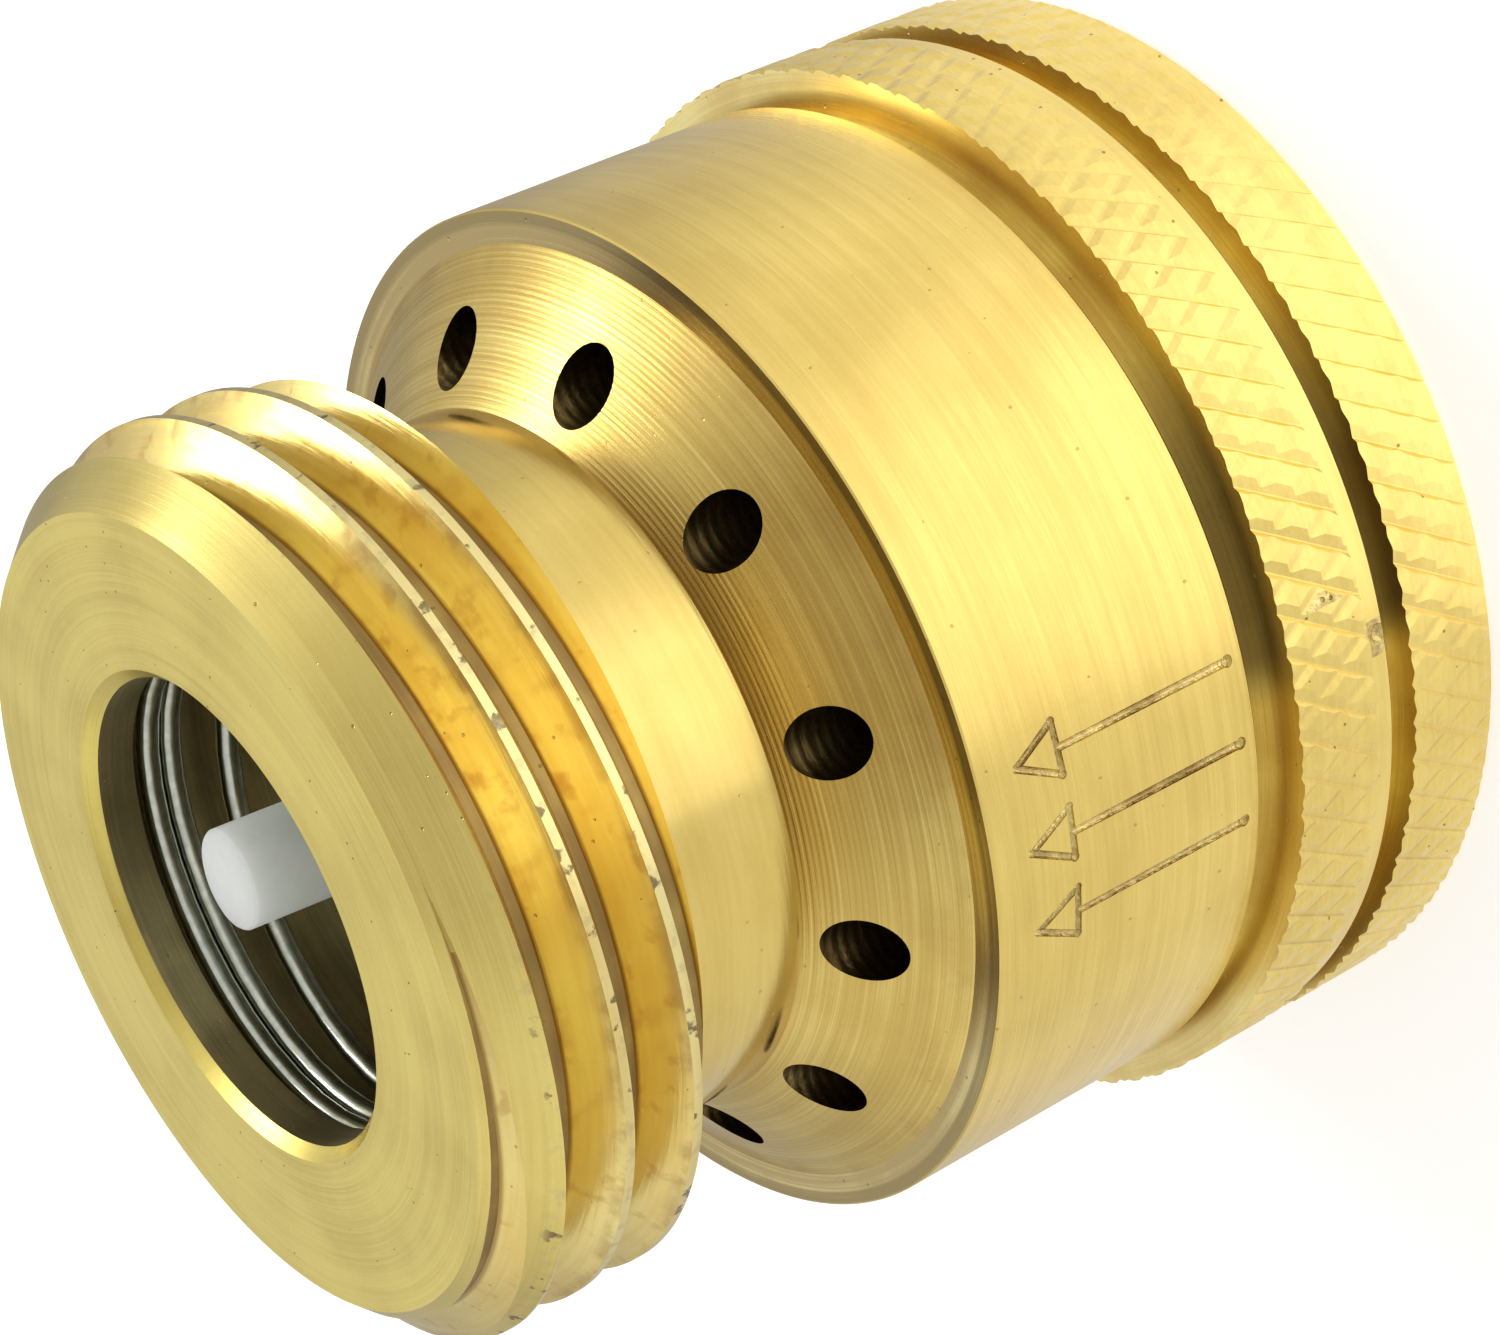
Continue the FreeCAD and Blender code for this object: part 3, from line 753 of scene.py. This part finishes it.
face_brass = brass_finish("face_brass", (0.90, 0.75, 0.21), (0.70, 0.55, 0.14), 0.32,
                          rings=16, ring_depth=0.003, pits=0.7, pit_scale=2.4,
                          grain_depth=0.003)
thread_brass = brass_finish("thread_brass", (0.96, 0.80, 0.31), (0.86, 0.64, 0.20), 0.24,
                            rings=5, ring_depth=0.012, ring_tone=0.35, pits=0.3,
                            stain=flank_shade_and_patches)
crest_brass = brass_finish("crest_brass", (0.98, 0.84, 0.38), (0.88, 0.68, 0.25), 0.24,
                           rings=8, ring_depth=0.003, pits=0.8, stain=edge_chips)
lead_brass = brass_finish("lead_brass", (0.90, 0.74, 0.24), (0.74, 0.58, 0.17), 0.26,
                          rings=12, ring_depth=0.004, pits=0.6, stain=edge_chips)
# Painted shade: the thread's roots take a darker, browner brass than its flanks.
root_brass_painted_shade = brass_finish("root_brass_painted_shade", (0.66, 0.46, 0.13), (0.40, 0.25, 0.07), 0.34,
                          rings=6, ring_depth=0.006, pits=0.3, stain=root_painted_shade)
neck_brass = brass_finish("neck_brass", (0.86, 0.65, 0.20), (0.74, 0.53, 0.14), 0.13,
                          rings=7, ring_depth=0.0015, ring_tone=0.2, drift=0.35, pits=0.15)
cone_brass = brass_finish("cone_brass", (0.88, 0.68, 0.22), (0.68, 0.48, 0.13), 0.26,
                          rings=24, ring_depth=0.004, ring_tone=0.45, drift=0.1,
                          feed=("r", 0.14), feed_depth=0.0011, pits=0.15, stain=cone_stain)
# The shoulder's ring carries painted shade round its outer part.
shoulder_brass = brass_finish("shoulder_brass", (0.80, 0.68, 0.32), (0.50, 0.38, 0.16), 0.28,
                              rings=7, ring_depth=0.008, ring_tone=0.6, drift=0.05, pits=0.3,
                              stain=shoulder_painted_shade)
barrel_brass = brass_finish("barrel_brass", (0.90, 0.68, 0.20), (0.76, 0.55, 0.15), 0.29,
                            rings=15, ring_depth=0.003, ring_tone=0.3, drift=0.4, pits=0.3,
                            grain_depth=0.002)
engraved_brass = brass_finish("engraved_brass", (0.92, 0.74, 0.30), (0.36, 0.24, 0.08), 0.36,
                              rings=4, ring_depth=0.03, ring_tone=0.3, drift=4, blotch=0.5,
                              grain_depth=0.05)
relief_brass = brass_finish("relief_brass", (0.95, 0.82, 0.36), (0.72, 0.54, 0.20), 0.30,
                            rings=12, ring_depth=0.003, pits=0.3, blotch=0.5,
                            stain=relief_dark_stretch)
knurl_brass = brass_finish("knurl_brass", (0.90, 0.69, 0.21), (0.76, 0.56, 0.16), 0.33,
                           rings=10, ring_depth=0.002, drift=0.6, pits=0.6,
                           grain_depth=0.006)
bore_brass = brass_finish("bore_brass", (0.76, 0.64, 0.34), (0.42, 0.35, 0.18), 0.38,
                          rings=14, ring_depth=0.003, pits=0.2, blotch=0.6)
hole_brass = brass_finish("hole_brass", (0.34, 0.25, 0.09), (0.14, 0.09, 0.03), 0.38,
                          rings=8, ring_depth=0.012, ring_tone=0.5, drift=0.5,
                          feed=("z", 0.36), feed_depth=0.004, pits=0.1)


def zone(place, normal):
    """Which brass finish a face of the body takes, from its place and direction."""
    r = math.hypot(place.x, place.y)
    z = place.z
    level = 0.01
    near = 0.02
    for turn, height, radius in DENTS:
        if (place - on_round(turn, height, KNURL_RADIUS)).length < radius + level:
            return engraved_brass
    on_wall = abs(z - BAND_ONE_TOP) < level or abs(z - BAND_TWO_TOP) < level
    if on_wall and normal.z > 0.7:
        return relief_brass
    if z < level:
        return face_brass
    if r > KNURL_RADIUS - KNURL_SKIN and z < BAND_ONE_TOP + level:
        on_band = z < BAND_TWO_TOP + level or z > GROOVE_TOP - level
        return knurl_brass if on_band else relief_brass
    if r > RELIEF_FLOOR - level and BAND_TWO_TOP - level < z < RELIEF_TOP + level:
        return relief_brass
    if r > BARREL_RADIUS - BARREL_SKIN and z < SHOULDER - level:
        in_stroke = r < BARREL_RADIUS - 0.015 and ARROW_TAIL - 0.4 < z < ARROW_TIP + 0.4
        return engraved_brass if in_stroke else barrel_brass
    if abs(z - SHOULDER) < level or (r > CONE_RADIUS + level and z > SHOULDER - 0.3):
        return shoulder_brass
    cone_height = NECK - (r - NECK_RADIUS) * (NECK - SHOULDER) / (CONE_RADIUS - NECK_RADIUS)
    if abs(z - cone_height) < near and normal.z > 0.5:
        return cone_brass
    if abs(r - NECK_RADIUS) < level and z > NECK - level:
        return neck_brass
    if z > THREAD_START - 2 and r > NECK_RADIUS - near:
        if z > TOP - level:
            return face_brass
        if normal.z > 0.6 and abs(z - (TOP - (r - FACE_RADIUS))) < near:
            return lead_brass
        if r > CREST_RADIUS - near:
            return crest_brass
        return root_brass_painted_shade if r < CREST_RADIUS - OUTLET_DEPTH + level else thread_brass
    if z > LIP_UNDERSIDE - level and normal.z > 0.5:
        return face_brass
    hole = math.pi / VENTS
    turn = (math.atan2(place.y, place.x) + hole) % (2 * hole) - hole
    from_hole = math.hypot(r * math.cos(turn) - VENT_CIRCLE, r * math.sin(turn))
    if abs(from_hole - VENT_RADIUS) < near and abs(normal.z) < 0.1:
        return hole_brass
    return bore_brass


def paint_zones(piece):
    names = []
    for polygon in piece.data.polygons:
        finish = zone(polygon.center / MM, polygon.normal)
        if finish.name not in names:
            names.append(finish.name)
            piece.data.materials.append(finish)
        polygon.material_index = names.index(finish.name)


def plastic_finish(name):
    """White moulded acetal, a little cloudy, that light sinks into."""
    material, tree, shader = new_material(name, 0.0, 0.42)
    lathe = Lathe(tree)
    cloud = lathe.noise(0.8, 4)
    colour = blend_colour(tree, between(tree, cloud, 0.3, 0.7), (0.82, 0.89, 0.84),
                          (0.76, 0.83, 0.77))
    tree.links.new(colour, shader.inputs["Base Color"])
    shader.inputs["Subsurface Weight"].default_value = 0.9
    shader.inputs["Subsurface Radius"].default_value = (1.0, 1.0, 0.9)
    shader.inputs["Subsurface Scale"].default_value = 0.004
    tree.links.new(bump(tree, lathe.noise(6, 3), 0.01), shader.inputs["Normal"])
    return material


def steel_finish(name, tone, roughness, depth):
    """Drawn or turned steel, with fine uneven marks."""
    material, tree, shader = new_material(name, 1.0, roughness)
    lathe = Lathe(tree)
    marks = lathe.noise(3, 5)
    dark = tuple(0.8 * part for part in tone)
    tree.links.new(blend_colour(tree, between(tree, marks, 0.3, 0.7), tone, dark),
                   shader.inputs["Base Color"])
    tree.links.new(calc(tree, "MULTIPLY_ADD", marks, 0.1, roughness - 0.05),
                   shader.inputs["Roughness"])
    tree.links.new(bump(tree, marks, depth), shader.inputs["Normal"])
    return material


def rubber_finish(name, tone):
    """Moulded rubber: dark, matt and faintly grained."""
    material, tree, shader = new_material(name, 0.0, 0.6)
    lathe = Lathe(tree)
    grain = lathe.noise(9, 3)
    cloud = lathe.noise(0.5, 3)
    light = tuple(part * 1.6 for part in tone)
    tree.links.new(blend_colour(tree, between(tree, cloud, 0.3, 0.7), tone, light),
                   shader.inputs["Base Color"])
    tree.links.new(calc(tree, "MULTIPLY_ADD", grain, 0.2, 0.5), shader.inputs["Roughness"])
    tree.links.new(bump(tree, grain, 0.02), shader.inputs["Normal"])
    return material


paint_zones(body)
plunger.data.materials.append(plastic_finish("white_acetal"))
spring.data.materials.append(steel_finish("spring_wire", (0.62, 0.64, 0.55), 0.22, 0.0006))
rubber = rubber_finish("black_rubber", (0.018, 0.018, 0.018))
screw_steel = steel_finish("screw_steel", (0.48, 0.48, 0.47), 0.32, 0.003)
for node, material in (("seat_ring", bore_brass), ("hose_washer", rubber), ("diaphragm", rubber),
                       ("check_disc", rubber), ("set_screw", screw_steel)):
    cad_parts[node].data.materials.clear()
    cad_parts[node].data.materials.append(material)


def ramp(tree, share, stops):
    """Colours along a value between nought and one; a single number is a grey."""
    node = tree.nodes.new("ShaderNodeValToRGB")
    node.color_ramp.interpolation = "LINEAR"
    points = node.color_ramp.elements
    while len(points) < len(stops):
        points.new(1.0)
    for point, (place, tone) in zip(points, stops):
        point.position = place
        point.color = (*tone, 1) if isinstance(tone, tuple) else (tone, tone, tone, 1)
    tree.links.new(share, node.inputs[0])
    return node.outputs[0]


# Painted reflection: how brightly the floor glows to reflected rays, so how bright it looks in the
# metal, by its direction from the piece in degrees.
PAINTED_FLOOR_GLOW = ((-180, 0.88), (-150, 0.95), (-125, 1.00), (-108, 1.00), (-103, 1.38), (-92, 1.60),
              (-81, 1.78), (-62, 1.74), (-50, 1.48), (-38, 1.22), (-26, 1.12), (-15, 1.12),
              (-5, 0.98), (7, 0.78), (18, 0.70), (40, 0.56), (51, 0.44), (90, 0.42),
              (130, 0.60), (180, 0.88))
# How bright the room looks in the metal, by the upward part of a direction.
ROOM_GLOW = ((0.0, 0.46), (0.25, 0.56), (0.5, 0.88), (0.78, 0.80), (0.87, 0.66),
             (0.94, (0.42, 0.36, 0.28)))


def make_floor():
    """A white floor. Metal mirrors it as a painted glow in place of the lit floor, brightest at
    about -92 to -62 degrees round the piece and stronger near it.
    """
    deselect()
    bpy.ops.mesh.primitive_plane_add(size=6)
    floor = bpy.context.active_object
    floor.name = "floor"
    material, tree, shader = new_material("floor_white_painted_glow", 0.0, 0.9)
    shader.inputs["Base Color"].default_value = (0.82, 0.82, 0.82, 1)
    shader.inputs["Specular IOR Level"].default_value = 0.0
    lathe = Lathe(tree)
    turn = calc(tree, "ARCTAN2", lathe.y, lathe.x)
    turn = calc(tree, "MULTIPLY_ADD", turn, 0.5 / math.pi, 0.5)
    stops = [((degrees + 180) / 360, level / 2) for degrees, level in PAINTED_FLOOR_GLOW]
    glow = tree.nodes.new("ShaderNodeEmission")
    tree.links.new(ramp(tree, turn, stops), glow.inputs["Color"])
    tree.links.new(calc(tree, "MULTIPLY_ADD", between(tree, lathe.r, 28, 60), -0.35, 2),
                   glow.inputs["Strength"])
    lift = add_node(tree, "Emission", Strength=0.5)
    add = tree.nodes.new("ShaderNodeAddShader")
    tree.links.new(shader.outputs[0], add.inputs[0])
    tree.links.new(lift.outputs[0], add.inputs[1])
    paths = tree.nodes.new("ShaderNodeLightPath")
    seen = tree.nodes.new("ShaderNodeMixShader")
    tree.links.new(paths.outputs["Is Camera Ray"], seen.inputs[0])
    tree.links.new(shader.outputs[0], seen.inputs[1])
    tree.links.new(add.outputs[0], seen.inputs[2])
    # Painted reflection: glossy and transmission rays see the glow instead of the floor.
    mirrored = tree.nodes.new("ShaderNodeMixShader")
    shiny = calc(tree, "MAXIMUM", paths.outputs["Is Glossy Ray"],
                 paths.outputs["Is Transmission Ray"])
    tree.links.new(shiny, mirrored.inputs[0])
    tree.links.new(seen.outputs[0], mirrored.inputs[1])
    tree.links.new(glow.outputs[0], mirrored.inputs[2])
    tree.links.new(mirrored.outputs[0], tree.nodes["Material Output"].inputs[0])
    floor.data.materials.append(material)


def make_world():
    """A white room that metal sees as dimmer low down and overhead."""
    world = bpy.data.worlds.new("studio")
    bpy.context.scene.world = world
    world.use_nodes = True
    tree = world.node_tree
    background = tree.nodes["Background"]
    direction = tree.nodes.new("ShaderNodeTexCoord").outputs["Generated"]
    split = tree.nodes.new("ShaderNodeSeparateXYZ")
    tree.links.new(direction, split.inputs[0])
    paths = tree.nodes.new("ShaderNodeLightPath")
    colour = blend_colour(tree, paths.outputs["Is Camera Ray"],
                          ramp(tree, split.outputs[2], ROOM_GLOW), (1.0, 1.0, 1.0))
    tree.links.new(colour, background.inputs["Color"])


def add_softbox(name, direction, distance, size, brightness):
    """A square lamp that faces the object from a direction, given its surface brightness."""
    data = bpy.data.lights.new(name, "AREA")
    data.size = size * MM
    data.energy = brightness * math.pi * (size * MM) ** 2
    lamp = bpy.data.objects.new(name, data)
    bpy.context.scene.collection.objects.link(lamp)
    middle = Vector((0, 0, TOP / 2)) * MM
    aim = Vector(direction).normalized()
    lamp.matrix_world = (Matrix.Translation(middle + aim * distance * MM)
                         @ aim.to_track_quat("Z", "Y").to_matrix().to_4x4())


def add_camera():
    right, up, forward = Vector(CAMERA_RIGHT), Vector(CAMERA_UP), Vector(CAMERA_FORWARD)
    data = bpy.data.cameras.new("camera")
    data.lens = CAMERA_LENS
    data.sensor_width = 36
    data.sensor_fit = "HORIZONTAL"
    data.clip_start = 0.005
    camera = bpy.data.objects.new("camera", data)
    bpy.context.scene.collection.objects.link(camera)
    turn = Matrix((right, up, -forward)).transposed().to_4x4()
    camera.matrix_world = Matrix.Translation(Vector(CAMERA_PLACE) * MM) @ turn
    bpy.context.scene.camera = camera


make_floor()
make_world()
add_softbox("window", WINDOW_WAY, WINDOW_DISTANCE, WINDOW_WIDTH, WINDOW_BRIGHTNESS)
add_camera()
bpy.context.scene.view_settings.view_transform = "Standard"
